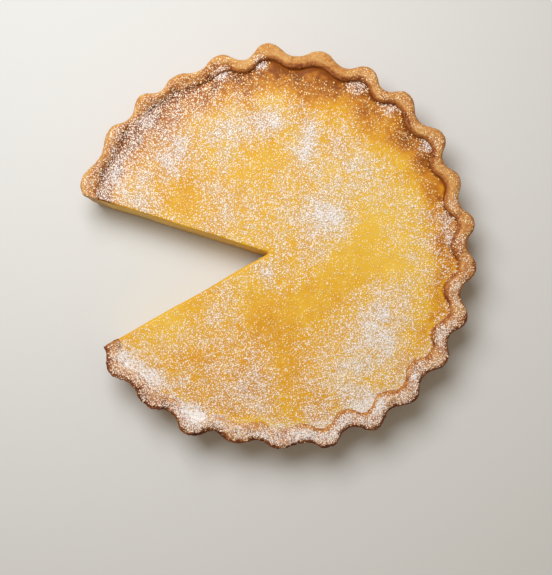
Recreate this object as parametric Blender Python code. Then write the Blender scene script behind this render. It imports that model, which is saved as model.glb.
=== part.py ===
"""A buttermilk pie with one slice cut out: a fluted shortcrust shell and the custard baked in it.

Metres, +Z up. The origin is the centre of the shell's flat underside, as it was before the slice
was cut, so the pie stands on the plane z = 0.
"""

import math

import bmesh
import bpy
from mathutils import Matrix, noise

# The baked shell, once it has shrunk from a 24 cm loose-based fluted tin
CREST_RADIUS = 0.118
RIM_HEIGHT = 0.031
RIM_WIDTH = 0.0080
THICKENING = 0.0030
THINNEST_WALL_DEG = 80.0
RIM_ROUNDING = 0.0042
CROWN_FLATNESS = 0.55
WALL_LEAN = 0.0062
BASE_THICKNESS = 0.0050
FOOT_ROUNDING = 0.0015
HEEL_ROUNDING = 0.0040
# The rim isn't quite level: the height, number and phase of each set of swells round the pie
RIM_SWELLS = ((0.0005, 2, 0.6), (0.0003, 7, 2.0))

# The flutes, pressed into the tin by hand: anticlockwise from the first crest, how far each crest
# stands off its even place, and how far it and the trough after it reach past CREST_RADIUS
FLUTES = 26
FIRST_CREST_DEG = 8.0
CREST_DRIFT_DEG = (0, -0.8, -1.7, -0.5, -1.4, -1.2, 0.9, 1.1, 1.2, -1.6, -2.5, -0.3, 0,
                   0, 0, 1.3, 0.5, 1.6, 0.8, 0.9, 1.1, 1.2, 0.4, 0.5, -0.3, 0.8)
CREST_REACH_MM = (-1, -2.5, 0.5, 1, 1, 0, 1.5, -1, -2, 0, 0, 0.5, -1,
                  0, -1.5, 0.5, -1.5, 0, -4.5, -3, 0.5, 1, 1.5, 1, 0.5, -0.5)
TROUGH_REACH_MM = (-7.5, -7.5, -6, -6, -5.5, -5.5, -7, -6, -5, -5, -4, -5, -5,
                   -5, -5, -4.5, -6.5, -7.5, -7.5, -5.2, -6.5, -3.8, -4.5, -4.7, -7.3, -6.5)
FLUTE_FLATNESS = 0.9
FLUTE_FADE = 2
# The dough is thicker behind the crests, and behind the troughs of one side, and nearly fills the
# flutes from inside along one stretch
CREST_FILL = 0.0015
TROUGH_FILL = 0.0020
THICKEST_TROUGHS_DEG = 320
LIP_FILL = 0.0025
LIP_MIDDLE_DEG = 138
LIP_HALF_DEG = 34
LIP_SLOPE = 0.0026
LUMP_HEIGHT = 0.0004
LUMP_SPACING = 0.011

# The custard, level with its dish a little below the rim
CUSTARD_LEVEL = 0.0279
DISH_DEPTH = 0.0006
DISH_RADIUS = 0.055
SWELL_HEIGHT = 0.0004
SWELL_RADIUS = 0.088
EDGE_WIDTH = 0.0040
EDGE_DROP = 0.0006
SINK_DEPTH = 0.0012
SINK_SHARPNESS = 4
DEEPEST_SINK_DEG = 80.0
SINK_ONE_SIDED = 2

# The slice that is gone: a knife cut from near the middle out past the rim
CUT_TIP = (-0.0035, -0.0017)
UPPER_CUT_DEG = 162.7
LOWER_CUT_DEG = 209.7
CUT_REACH = 0.150
CUT_MARGIN = 0.010

# How finely the curves are cut into flat faces
COLUMNS_PER_FLUTE = 10
RIM_STEPS = 8
CORNER_STEPS = 2
WALL_STEPS = 3
EDGE_STEPS = 3
SURFACE_STEPS = 4
GAP = 0.0003


def outer_radius(height):
    """The leaning outer wall, at a crest."""
    shoulder = RIM_HEIGHT - RIM_ROUNDING
    return CREST_RADIUS - WALL_LEAN * (1 - height / shoulder)


def inner_radius(height):
    """The inner wall, which leans as the outer one does."""
    return outer_radius(height) - RIM_WIDTH


def arc(centre, radii, start_deg, end_deg, steps):
    """Points (radius, height) along a round stretch of a section."""
    points = []
    for step in range(steps + 1):
        angle = math.radians(start_deg + (end_deg - start_deg) * step / steps)
        points.append((centre[0] + radii[0] * math.cos(angle), centre[1] + radii[1] * math.sin(angle)))
    return points


def crown():
    """The top of the wall, rounded but flatter than half an ellipse."""
    shoulder = RIM_HEIGHT - RIM_ROUNDING
    points = []
    for across, up in arc((0, 0), (1, 1), 0, 180, RIM_STEPS):
        height = shoulder + RIM_ROUNDING * abs(up) ** CROWN_FLATNESS
        points.append((CREST_RADIUS - RIM_WIDTH / 2 * (1 - across), height))
    return points


def heel(offset):
    """The rounded inside corner between floor and wall, and the same corner of what fills it."""
    height = BASE_THICKNESS + HEEL_ROUNDING
    centre = (inner_radius(height) - HEEL_ROUNDING, height)
    radius = HEEL_ROUNDING - offset
    return arc(centre, (radius, radius), 0, -90, CORNER_STEPS)


def shell_section():
    """Foot, outer wall, rounded rim, inner wall and heel, from the underside round to the floor."""
    foot_radius = outer_radius(FOOT_ROUNDING) - FOOT_ROUNDING
    foot = arc((foot_radius, FOOT_ROUNDING), (FOOT_ROUNDING, FOOT_ROUNDING), -90, 0, CORNER_STEPS)
    shoulder = RIM_HEIGHT - RIM_ROUNDING
    wall = []
    for step in range(1, WALL_STEPS):
        height = FOOT_ROUNDING + (shoulder - FOOT_ROUNDING) * step / WALL_STEPS
        wall.append((outer_radius(height), height))
    return foot + wall + crown() + heel(0)


def custard_height(radius):
    """The custard's surface along a radius: a shallow dish with a low swell outside it."""
    reach = min(max((radius - DISH_RADIUS) / (SWELL_RADIUS - DISH_RADIUS), 0), 1)
    rise = reach * reach * (3 - 2 * reach)
    return CUSTARD_LEVEL + SWELL_HEIGHT * rise - DISH_DEPTH * (1 - rise)


def custard_section():
    """Bottom corner, side, rounded edge and surface, from the custard's underside to its dish."""
    corner = heel(GAP)
    corner.reverse()
    shoulder = CUSTARD_LEVEL + SWELL_HEIGHT - EDGE_DROP
    side_radius = inner_radius(shoulder) - GAP
    outermost = side_radius - EDGE_WIDTH
    edge = arc((outermost, shoulder), (EDGE_WIDTH, EDGE_DROP), 0, 90, EDGE_STEPS)
    surface = []
    for step in range(1, SURFACE_STEPS + 1):
        radius = outermost + (DISH_RADIUS - outermost) * step / SURFACE_STEPS
        surface.append((radius, custard_height(radius)))
    return corner + edge + surface


def crest_angle(index):
    """Where a crest stands, with its drift; the index may run past a full turn."""
    even_place = FIRST_CREST_DEG + index * 360 / FLUTES
    return math.radians(even_place + CREST_DRIFT_DEG[index % FLUTES])


def flute(turn):
    """The angle of a column, how far the flutes push it out, and 1 on a crest down to 0 in a trough."""
    index = math.floor(turn)
    part = turn - index
    angle = crest_angle(index) * (1 - part) + crest_angle(index + 1) * part
    wave = math.tanh(FLUTE_FLATNESS * math.cos(2 * math.pi * part)) / math.tanh(FLUTE_FLATNESS)
    crest = CREST_REACH_MM[(index + round(part)) % FLUTES]
    trough = TROUGH_REACH_MM[index % FLUTES]
    share = (1 + wave) / 2
    return angle, (crest * share + trough * (1 - share)) / 1000, share


def lip(angle):
    """1 in the middle of the stretch where the dough fills the flutes, 0 outside it."""
    from_middle = (math.degrees(angle) - LIP_MIDDLE_DEG + 180) % 360 - 180
    return math.sqrt(max(math.cos(math.pi / 2 * min(abs(from_middle) / LIP_HALF_DEG, 1)), 0))


def thickening(angle, share):
    """How much thicker than RIM_WIDTH the wall is; share is 1 behind a crest and 0 behind a trough."""
    thicker = THICKENING * (0.5 - 0.5 * math.cos(angle - math.radians(THINNEST_WALL_DEG)))
    thicker += TROUGH_FILL * max(math.cos(angle - math.radians(THICKEST_TROUGHS_DEG)), 0) * (1 - share)
    return thicker + (CREST_FILL + LIP_FILL * lip(angle)) * share


def depth_in_wall(vertex):
    """0 on the outer wall, 1 on the inner wall and everywhere inside it."""
    radius = math.hypot(vertex.co.x, vertex.co.y)
    return min((outer_radius(vertex.co.z) - radius) / RIM_WIDTH, 1)


def lift_rim(vertex):
    """Raises or lowers the crown, slopes it inwards along the lip, and leaves the wall under it alone."""
    angle = math.atan2(vertex.co.y, vertex.co.x)
    rise = sum(height * math.sin(count * angle + phase) for height, count, phase in RIM_SWELLS)
    rise -= LIP_SLOPE * lip(angle) * max(2 * depth_in_wall(vertex) - 1, 0)
    above_wall = max(vertex.co.z - (RIM_HEIGHT - RIM_ROUNDING), 0)
    vertex.co.z += rise * above_wall / RIM_ROUNDING


def sink_edge(vertex):
    """The custard's edge has sunk down the leaning wall on one side, and stands full on the other."""
    radius = math.hypot(vertex.co.x, vertex.co.y)
    angle = math.atan2(vertex.co.y, vertex.co.x)
    nearness = min(max((radius - SWELL_RADIUS) / (inner_radius(CUSTARD_LEVEL) - SWELL_RADIUS), 0), 1)
    side = (0.5 + 0.5 * math.cos(angle - math.radians(DEEPEST_SINK_DEG))) ** SINK_ONE_SIDED
    drop = SINK_DEPTH * side * nearness ** SINK_SHARPNESS
    inward = drop * WALL_LEAN / (RIM_HEIGHT - RIM_ROUNDING)
    vertex.co.z -= drop
    vertex.co.xy *= 1 - inward / radius


def turned(section):
    """The section spun about the pie's axis from the first crest, closed by a flat face at each end."""
    mesh = bmesh.new()
    vertices = [mesh.verts.new((radius, 0, height)) for radius, height in section]
    edges = [mesh.edges.new(pair) for pair in zip(vertices, vertices[1:])]
    bmesh.ops.rotate(mesh, verts=vertices, matrix=Matrix.Rotation(math.radians(FIRST_CREST_DEG), 3, "Z"))
    bmesh.ops.spin(mesh, geom=vertices + edges, cent=(0, 0, 0), axis=(0, 0, 1), angle=2 * math.pi,
                   steps=FLUTES * COLUMNS_PER_FLUTE, use_merge=True)
    rings = [edge for edge in mesh.edges if edge.is_boundary]
    bmesh.ops.holes_fill(mesh, edges=rings, sides=0)
    bmesh.ops.recalc_face_normals(mesh, faces=mesh.faces)
    return mesh


def roughen(mesh):
    """Low lumps in the dough of the outer wall and the rim; the foot stays flat."""
    mesh.normal_update()
    for vertex in mesh.verts:
        if vertex.co.z > FOOT_ROUNDING:
            lump = LUMP_HEIGHT * noise.noise(vertex.co / LUMP_SPACING)
            vertex.co += lump * (1 - depth_in_wall(vertex)) * vertex.normal


def press_into_tin(mesh):
    """Gives a turned mesh its flutes and the wall its uneven thickness; both fade towards the middle."""
    for vertex in mesh.verts:
        even_place = math.atan2(vertex.co.y, vertex.co.x) - math.radians(FIRST_CREST_DEG)
        column = round(even_place / (2 * math.pi) * FLUTES * COLUMNS_PER_FLUTE)
        angle, push, share = flute(column / COLUMNS_PER_FLUTE)
        radius = math.hypot(vertex.co.x, vertex.co.y)
        push -= thickening(angle, share) * depth_in_wall(vertex)
        radius += push * (radius / CREST_RADIUS) ** FLUTE_FADE
        vertex.co.x = radius * math.cos(angle)
        vertex.co.y = radius * math.sin(angle)


def new_object(name, mesh):
    """A named object from a finished mesh, shaded smooth but for its sharp edges."""
    data = bpy.data.meshes.new(name)
    mesh.to_mesh(data)
    mesh.free()
    data.shade_smooth()
    data.set_sharp_from_angle(angle=math.radians(40))
    item = bpy.data.objects.new(name, data)
    bpy.context.scene.collection.objects.link(item)
    return item


def baked_material(name, colour, roughness):
    """A plain matt finish, with its colour in linear light."""
    material = bpy.data.materials.new(name)
    material.use_nodes = True
    shader = material.node_tree.nodes["Principled BSDF"]
    shader.inputs["Base Color"].default_value = (*colour, 1)
    shader.inputs["Roughness"].default_value = roughness
    shader.inputs["Metallic"].default_value = 0
    return material


def make_crust():
    """The shortcrust shell: a flat base and a thick fluted wall, baked as one piece of dough."""
    mesh = turned(shell_section())
    roughen(mesh)
    for vertex in mesh.verts:
        lift_rim(vertex)
    press_into_tin(mesh)
    crust = new_object("crust", mesh)
    crust.data.materials.append(baked_material("baked_shortcrust", (0.50, 0.24, 0.09), 0.8))
    return crust


def make_filling():
    """The set custard, which fills the shell from its floor to a little below the rim."""
    mesh = turned(custard_section())
    for vertex in mesh.verts:
        if vertex.co.z > CUSTARD_LEVEL - EDGE_WIDTH:
            sink_edge(vertex)
    press_into_tin(mesh)
    filling = new_object("filling", mesh)
    filling.data.materials.append(baked_material("set_custard", (0.80, 0.46, 0.10), 0.5))
    return filling


def make_knife_cut():
    """The wedge that the knife took out, as a cutter through the whole height of the pie."""
    mesh = bmesh.new()
    corners = [CUT_TIP]
    for angle_deg in (UPPER_CUT_DEG, LOWER_CUT_DEG):
        angle = math.radians(angle_deg)
        corners.append((CUT_TIP[0] + CUT_REACH * math.cos(angle), CUT_TIP[1] + CUT_REACH * math.sin(angle)))
    bottom = mesh.faces.new([mesh.verts.new((x, y, -CUT_MARGIN)) for x, y in corners])
    sides = bmesh.ops.extrude_face_region(mesh, geom=[bottom])["geom"]
    raised = [item for item in sides if isinstance(item, bmesh.types.BMVert)]
    bmesh.ops.translate(mesh, verts=raised, vec=(0, 0, RIM_HEIGHT + 2 * CUT_MARGIN))
    bmesh.ops.recalc_face_normals(mesh, faces=mesh.faces)
    data = bpy.data.meshes.new("knife_cut")
    mesh.to_mesh(data)
    mesh.free()
    cutter = bpy.data.objects.new("knife_cut", data)
    bpy.context.scene.collection.objects.link(cutter)
    cutter.hide_render = True
    cutter.display_type = "WIRE"
    return cutter


def cut_slice_from(item, cutter):
    """Takes the slice out of a piece with an exact Boolean."""
    modifier = item.modifiers.new("slice", "BOOLEAN")
    modifier.operation = "DIFFERENCE"
    modifier.solver = "EXACT"
    modifier.object = cutter


for old in list(bpy.data.objects):
    bpy.data.objects.remove(old)

knife_cut = make_knife_cut()
for piece in (make_crust(), make_filling()):
    cut_slice_from(piece, knife_cut)
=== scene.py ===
import math
import random

import bmesh
import bpy
from mathutils import Matrix, Vector, noise
from mathutils.bvhtree import BVHTree


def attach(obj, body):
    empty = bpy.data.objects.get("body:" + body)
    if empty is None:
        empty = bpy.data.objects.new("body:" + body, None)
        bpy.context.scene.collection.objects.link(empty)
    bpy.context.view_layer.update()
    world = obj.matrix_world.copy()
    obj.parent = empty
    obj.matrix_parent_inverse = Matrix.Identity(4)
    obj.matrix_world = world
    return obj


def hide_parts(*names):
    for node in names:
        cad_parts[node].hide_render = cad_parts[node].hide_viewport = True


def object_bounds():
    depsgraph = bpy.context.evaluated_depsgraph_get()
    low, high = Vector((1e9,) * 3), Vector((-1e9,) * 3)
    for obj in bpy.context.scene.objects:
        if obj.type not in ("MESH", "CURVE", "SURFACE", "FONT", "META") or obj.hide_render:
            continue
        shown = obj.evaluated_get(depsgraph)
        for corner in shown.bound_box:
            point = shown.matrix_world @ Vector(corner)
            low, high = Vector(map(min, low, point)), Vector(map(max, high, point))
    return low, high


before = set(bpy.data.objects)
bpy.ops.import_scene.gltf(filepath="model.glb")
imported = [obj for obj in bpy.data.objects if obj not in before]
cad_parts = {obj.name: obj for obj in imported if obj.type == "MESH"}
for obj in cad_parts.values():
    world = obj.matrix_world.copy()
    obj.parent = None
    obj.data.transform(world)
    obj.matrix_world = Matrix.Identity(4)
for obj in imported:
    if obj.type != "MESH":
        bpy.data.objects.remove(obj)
cad_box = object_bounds()


# --- The view ---------------------------------------------
# The camera looks straight down from over the lower half of the pie. The picture is the part above
# the middle of a wider one, so the lens is shifted and the camera isn't tilted.
VIEW_POINT = (0.0012, -0.0618, 0.692)
VIEW_LENS_MM = 72
SENSOR_MM = 36
NEAREST_SEEN = 0.01
VIEW_SHIFT = 0.121


def new_item(name, data):
    """A named object in the scene, from its data."""
    item = bpy.data.objects.new(name, data)
    bpy.context.scene.collection.objects.link(item)
    return item


lens = bpy.data.cameras.new("view")
lens.lens = VIEW_LENS_MM
lens.sensor_width = SENSOR_MM
lens.shift_y = VIEW_SHIFT
lens.clip_start = NEAREST_SEEN
view = new_item("view", lens)
view.location = VIEW_POINT
bpy.context.scene.camera = view
bpy.context.scene.view_settings.view_transform = "Standard"


# --- The slice that is gone -------------------------------
# One slice was cut out with a kitchen knife, from near the middle past the rim. The cutter here is
# the wedge that it took, finely divided, so that the faces it leaves can be worked on afterwards.
CUT_TIP = Vector((-0.0035, -0.0017))
UPPER_CUT_DEG = 162.7
LOWER_CUT_DEG = 209.7
CUT_REACH = 0.130
CUT_MARGIN = 0.010
CUT_SPACING = 0.0007
# Nearer than this, two places count as touching
TOUCHING = 0.00002

upper_way = Vector((math.cos(math.radians(UPPER_CUT_DEG)), math.sin(math.radians(UPPER_CUT_DEG))))
lower_way = Vector((math.cos(math.radians(LOWER_CUT_DEG)), math.sin(math.radians(LOWER_CUT_DEG))))
# Each cut face's way out from the tip, and its level direction into the pie
CUT_FACES = ((upper_way, Vector((upper_way.y, -upper_way.x, 0))),
             (lower_way, Vector((-lower_way.y, lower_way.x, 0))))


def new_object(name, mesh):
    """A named object from a finished mesh."""
    data = bpy.data.meshes.new(name)
    mesh.to_mesh(data)
    mesh.free()
    return new_item(name, data)


def make_knife_cut():
    """The wedge that the knife took out, with its two cut faces divided finely."""
    mesh = bmesh.new()
    corners = [CUT_TIP] + [CUT_TIP + CUT_REACH * way for way, into_pie in CUT_FACES]
    bottom = mesh.faces.new([mesh.verts.new((*corner, -CUT_MARGIN)) for corner in corners])
    sides = bmesh.ops.extrude_face_region(mesh, geom=[bottom])["geom"]
    raised = [item for item in sides if isinstance(item, bmesh.types.BMVert)]
    height = cad_box[1][2] + 2 * CUT_MARGIN
    bmesh.ops.translate(mesh, verts=raised, vec=(0, 0, height))
    uprights = [edge for edge in mesh.edges if abs(edge.verts[0].co.z - edge.verts[1].co.z) > CUT_MARGIN]
    bmesh.ops.subdivide_edges(mesh, edges=uprights, cuts=round(height / CUT_SPACING))
    levels = [edge for edge in mesh.edges if abs(edge.verts[0].co.z - edge.verts[1].co.z) < TOUCHING
              and min((vertex.co.xy - CUT_TIP).length for vertex in edge.verts) < TOUCHING]
    bmesh.ops.subdivide_edges(mesh, edges=levels, cuts=round(CUT_REACH / CUT_SPACING), use_grid_fill=True)
    bmesh.ops.recalc_face_normals(mesh, faces=mesh.faces)
    return new_object("knife_cut", mesh)


knife_cut = make_knife_cut()


# --- The shortcrust shell ---------------------------------
# Butter and flour dough, rolled 5 mm thick and pressed by hand into a 24 cm fluted tin, so each flute
# stands and reaches a little differently. It is baked golden and browner inside its rim, and darker towards
# one side. Painted shade darkens its creases and folds, its inner wall and its rim's outer edge away from
# the window.
CREST_RADIUS = 0.118
RIM_HEIGHT = 0.031
RIM_WIDTH = 0.0080
RIM_ROUNDING = 0.0042
CROWN_FLATNESS = 0.55
THICKENING = 0.0030
THINNEST_WALL_DEG = 80.0
WALL_LEAN = 0.0062
BASE_THICKNESS = 0.0050
FOOT_ROUNDING = 0.0015
HEEL_ROUNDING = 0.0040
SHOULDER = RIM_HEIGHT - RIM_ROUNDING
LOWEST_SHOWING = 0.0235
RIM_SWELLS = ((0.0005, 2, 0.6), (0.0003, 7, 2.0))
CORNER_STEPS, OUTER_WALL_STEPS, CROWN_STEPS, INNER_WALL_STEPS = 4, 26, 32, 6
MERGE_DISTANCE = 0.000001

FLUTES = 26
FIRST_CREST_DEG = 8.0
CREST_DRIFT_DEG = (0, -0.8, -1.7, -0.5, -1.4, -1.2, 0.9, 1.1, 1.2, -1.6, -2.5, -0.3, 0,
                   0, 0, 1.3, 0.5, 1.6, 0.8, 0.9, 1.1, 1.2, 0.4, 0.5, -0.3, 0.8)
CREST_REACH_MM = (-1, -2.5, 0.5, 1, 1, 0, 1.5, -1, -2, 0, 0, 0.5, -1,
                  0, -1.5, 0.5, -1.5, 0, -4.5, -3, 0.5, 1, 1.5, 1, 0.5, -0.5)
TROUGH_REACH_MM = (-7.5, -7.5, -6, -6, -5.5, -5.5, -7, -6, -5, -5, -4, -5, -5,
                   -5, -5, -4.5, -6.5, -7.5, -7.5, -5.2, -6.5, -3.8, -4.5, -4.7, -7.3, -6.5)
FLUTE_FLATNESS = 0.9
FLUTE_FADE = 2
# The dough is thicker behind the crests, and behind the troughs of one side, and nearly fills the
# flutes from inside along one stretch
CREST_FILL = 0.0015
TROUGH_FILL = 0.0020
THICKEST_TROUGHS_DEG = 320
LIP_FILL = 0.0025
LIP_MIDDLE_DEG = 138
LIP_HALF_DEG = 34
LIP_SLOPE = 0.0026
# Hollows where the dough folded over: from and to (degrees round, millimetres out), then how far each
# reaches and how deep it is, in millimetres
FOLDS = ((122, 107, 132, 106.5, 2.4, 1.8), (139, 110, 151, 105.5, 1.8, 1.3),
         (153, 107, 160, 107, 2.2, 1.6), (112, 103.5, 121, 106.5, 0.9, 0.8),
         (103, 109, 109, 111, 1.6, 1.0), (287.5, 103, 287.5, 110, 1.2, 1.0),
         (314, 101, 316, 108, 1.2, 1.0), (234, 106, 236, 113, 1.8, 1.4), (251, 107, 255, 112, 1.6, 1.2),
         (263, 107, 265, 112, 1.6, 1.2), (50, 109, 52, 113, 1.1, 0.9), (329, 104, 331, 108, 1.4, 0.9))
SHELL_COLUMNS = 30
DOUGH_LUMPS = (0.0110, 0.0004)
# The relief that baking leaves on the dough, its spacing and its height, and where it is roughest
BAKED_RELIEF = ((0.0042, 0.00036), (0.0019, 0.00026), (0.0010, 0.00012))
CREASE_SPACING = 0.0075
CREASE_OFFSET = Vector((3, 1, 7))
CREASE_SHARE = 0.10
CREASE_DEPTH = 0.00032
ROUGHEST_DEG = 238
ROUGH_SIDE = (0.4, 0.95)
SMOOTHEST, ROUGHEST = 0.55, 2.2
# How far the knife went from side to side, over what length, and how wide a band goes with it
KNIFE_WANDER = 0.00040
WANDER_SPACING = 0.016
WANDER_REACH = 0.008
# So deep, nothing shows of the skin's colour. All sides of the shell have a skin, facing any way.
NO_SKIN = 0.01
SKIN_ALL_ROUND = -2
# The broken dough of the cut faces: how deep its pits are, their two spacings and how many there are
CRUMBLE_DEPTH = 0.0006
CRUMBLE_SPACING = 0.0019
FINER_CRUMBLE = 2.3
FINE_SHARE = 0.6
PITTED = 0.4
# How brown the dough is, from 0 to 1: all over, and how much more where the oven or the custard's
# juice took it on, with painted shade added in its creases and folds, on its inner wall and on the rim's
# outer edge away from the window. The depths are those in the wall, 0 at its outside and 1 at its inside.
PLAIN_TOAST = 0.28
# The rim and outer wall are darker towards one side, the side away from the window
DARKEST_SIDE_DEG = 325
SIDE_DARKENING = 0.20
SIDE_DEPTH = 0.7
# Painted shade in the creases and fold hollows
CREASE_PAINTED_SHADE = 0.14
FOLD_CREASES = 1.3
MOST_CREASED = 2
LIP_TOAST = 0.31
LIP_DEPTHS = (0, 0.55)
# The inner wall's dark band: browning where the custard's juice met it, and painted shade, darkest on the
# side away from the window
INNER_WALL_TOAST_AND_SHADE = 0.39
INNER_WALL_DEPTHS = (0.76, 0.94)
INNER_WALL_WANDER, INNER_WALL_SPACING = 0.14, 0.008
DARKEST_INSIDE_DEG = 55
LEAST_INSIDE = 0.35
LIP_PROTECTS = 0.7
# Painted shade: the rim's outer edge and upper outer wall are darkened on the side away from the window
PAINTED_SHADE_AMOUNT = 0.47
SHADED_SIDE_DEG = -90
SHADED_SIDE = (0.4, 0.85)
FULL_SHADE, NARROWEST_SHADE, WIDER_SHADE = 0.05, 0.45, 0.50
WIDEST_SHADE_DEG = 219
WIDEST_SHADE = (0.90, 0.98)
SHADE_HEIGHTS = (0.016, 0.027)
TOAST_CLOUDS, CLOUD_SPACING = 0.16, 0.012


def arc(centre, radii, start_deg, end_deg, steps):
    """Points (radius, height) along a round stretch of a section."""
    angles = [math.radians(start_deg + (end_deg - start_deg) * step / steps) for step in range(steps + 1)]
    return [(centre[0] + radii[0] * math.cos(a), centre[1] + radii[1] * math.sin(a)) for a in angles]


def outer_radius(height):
    """The leaning outer wall, at a crest."""
    return CREST_RADIUS - WALL_LEAN * (1 - height / SHOULDER)


def inner_radius(height):
    """The inner wall, which leans as the outer one does."""
    return outer_radius(height) - RIM_WIDTH


def wall_rows(radius_at, bottom, top, steps):
    """Points up or down a straight wall, without its two ends."""
    heights = [bottom + (top - bottom) * step / steps for step in range(1, steps)]
    return [(radius_at(height), height) for height in heights]


def shell_section():
    """Foot, outer wall, crown, inner wall and the rounded corner down to the floor."""
    foot_centre = (outer_radius(FOOT_ROUNDING) - FOOT_ROUNDING, FOOT_ROUNDING)
    foot = arc(foot_centre, (FOOT_ROUNDING, FOOT_ROUNDING), -90, 0, CORNER_STEPS)
    wall = wall_rows(outer_radius, FOOT_ROUNDING, SHOULDER, OUTER_WALL_STEPS)
    # The crown is rounded but flatter than half an ellipse
    rim = [(CREST_RADIUS - RIM_WIDTH / 2 * (1 - across), SHOULDER + RIM_ROUNDING * abs(up) ** CROWN_FLATNESS)
           for across, up in arc((0, 0), (1, 1), 0, 180, CROWN_STEPS)]
    showing = wall_rows(inner_radius, SHOULDER, LOWEST_SHOWING, INNER_WALL_STEPS)
    heel_height = BASE_THICKNESS + HEEL_ROUNDING
    heel_centre = (inner_radius(heel_height) - HEEL_ROUNDING, heel_height)
    heel = arc(heel_centre, (HEEL_ROUNDING, HEEL_ROUNDING), 0, -90, CORNER_STEPS)
    return foot + wall + rim + showing + heel


def bearing(place):
    """The angle at which a place lies round the pie's middle."""
    return math.atan2(place.y, place.x)


def crest_angle(index):
    """Where a crest stands, with its drift; the index may run past a full turn."""
    return math.radians(FIRST_CREST_DEG + index * 360 / FLUTES + CREST_DRIFT_DEG[index % FLUTES])


def flute(turn):
    """The angle of a column, how far the flutes push it out, and 1 on a crest down to 0 in a trough."""
    index = math.floor(turn)
    part = turn - index
    angle = crest_angle(index) * (1 - part) + crest_angle(index + 1) * part
    wave = math.tanh(FLUTE_FLATNESS * math.cos(2 * math.pi * part)) / math.tanh(FLUTE_FLATNESS)
    crest = CREST_REACH_MM[(index + round(part)) % FLUTES]
    trough = TROUGH_REACH_MM[index % FLUTES]
    share = (1 + wave) / 2
    return angle, (crest * share + trough * (1 - share)) / 1000, share


def lip(angle):
    """1 in the middle of the stretch where the dough fills the flutes, 0 outside it."""
    from_middle = (math.degrees(angle) - LIP_MIDDLE_DEG + 180) % 360 - 180
    return math.sqrt(max(math.cos(math.pi / 2 * min(abs(from_middle) / LIP_HALF_DEG, 1)), 0))


def thickening(angle, share):
    """How much thicker than RIM_WIDTH the wall is; share is 1 behind a crest and 0 behind a trough."""
    thicker = THICKENING * (0.5 - 0.5 * math.cos(angle - math.radians(THINNEST_WALL_DEG)))
    thicker += TROUGH_FILL * max(math.cos(angle - math.radians(THICKEST_TROUGHS_DEG)), 0) * (1 - share)
    return thicker + (CREST_FILL + LIP_FILL * lip(angle)) * share


def turned(section, columns):
    """The section spun through one flute, repeated round the pie and closed by a face at each end."""
    mesh = bmesh.new()
    vertices = [mesh.verts.new((radius, 0, height)) for radius, height in section]
    edges = [mesh.edges.new(pair) for pair in zip(vertices, vertices[1:])]
    bmesh.ops.rotate(mesh, verts=vertices, matrix=Matrix.Rotation(math.radians(FIRST_CREST_DEG), 3, "Z"))
    one_flute = 2 * math.pi / FLUTES
    bmesh.ops.spin(mesh, geom=vertices + edges, cent=(0, 0, 0), axis=(0, 0, 1), angle=one_flute,
                   steps=columns)
    bmesh.ops.spin(mesh, geom=mesh.verts[:] + mesh.edges[:] + mesh.faces[:], cent=(0, 0, 0),
                   axis=(0, 0, 1), angle=2 * math.pi - one_flute, steps=FLUTES - 1, use_duplicate=True)
    bmesh.ops.remove_doubles(mesh, verts=mesh.verts, dist=MERGE_DISTANCE)
    bmesh.ops.holes_fill(mesh, edges=[edge for edge in mesh.edges if edge.is_boundary], sides=0)
    bmesh.ops.recalc_face_normals(mesh, faces=mesh.faces)
    return mesh


def depth_in_wall(vertex):
    """0 on the outer wall, 1 on the inner wall and everywhere inside it."""
    return min((outer_radius(vertex.co.z) - vertex.co.xy.length) / RIM_WIDTH, 1)


def press_into_tin(mesh):
    """Gives a turned mesh its flutes and the wall its uneven thickness; both fade towards the middle."""
    for vertex in mesh.verts:
        even_place = bearing(vertex.co) - math.radians(FIRST_CREST_DEG)
        angle, push, share = flute(even_place / (2 * math.pi) * FLUTES)
        radius = vertex.co.xy.length
        push -= thickening(angle, share) * depth_in_wall(vertex)
        radius += push * (radius / CREST_RADIUS) ** FLUTE_FADE
        vertex.co.x = radius * math.cos(angle)
        vertex.co.y = radius * math.sin(angle)


def lift_rim(vertex):
    """Raises or lowers the crown, slopes it inwards along the lip, and leaves the wall under it alone."""
    angle = bearing(vertex.co)
    rise = sum(height * math.sin(count * angle + phase) for height, count, phase in RIM_SWELLS)
    rise -= LIP_SLOPE * lip(angle) * max(2 * depth_in_wall(vertex) - 1, 0)
    vertex.co.z += rise * max(vertex.co.z - SHOULDER, 0) / RIM_ROUNDING


def polar(turn_deg, millimetres):
    """The level place so many degrees round and so many millimetres from the middle."""
    return Vector((math.cos(math.radians(turn_deg)), math.sin(math.radians(turn_deg)))) * millimetres / 1000


def off_line(place, start, end):
    """How far a level place is from the line between two others."""
    along = min(max((place - start).dot(end - start) / (end - start).length_squared, 0), 1)
    return (place - start.lerp(end, along)).length


fold_lines = [(polar(from_deg, from_mm), polar(to_deg, to_mm), reach / 1000, depth / 1000)
              for from_deg, from_mm, to_deg, to_mm, reach, depth in FOLDS]


def folded(vertex):
    """How deep the dough is folded in at a point, in metres."""
    return max(depth * math.exp(-(off_line(vertex.co.xy, start, end) / reach) ** 2)
               for start, end, reach, depth in fold_lines)


def smooth(value, start, end):
    """0 before start, 1 after end, and an easy curve between them."""
    share = min(max((value - start) / (end - start), 0), 1)
    return share * share * (3 - 2 * share)


def facing(vertex, side_deg):
    """1 on one side of the pie, 0 on the opposite side."""
    return 0.5 + 0.5 * math.cos(bearing(vertex.co) - math.radians(side_deg))


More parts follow.
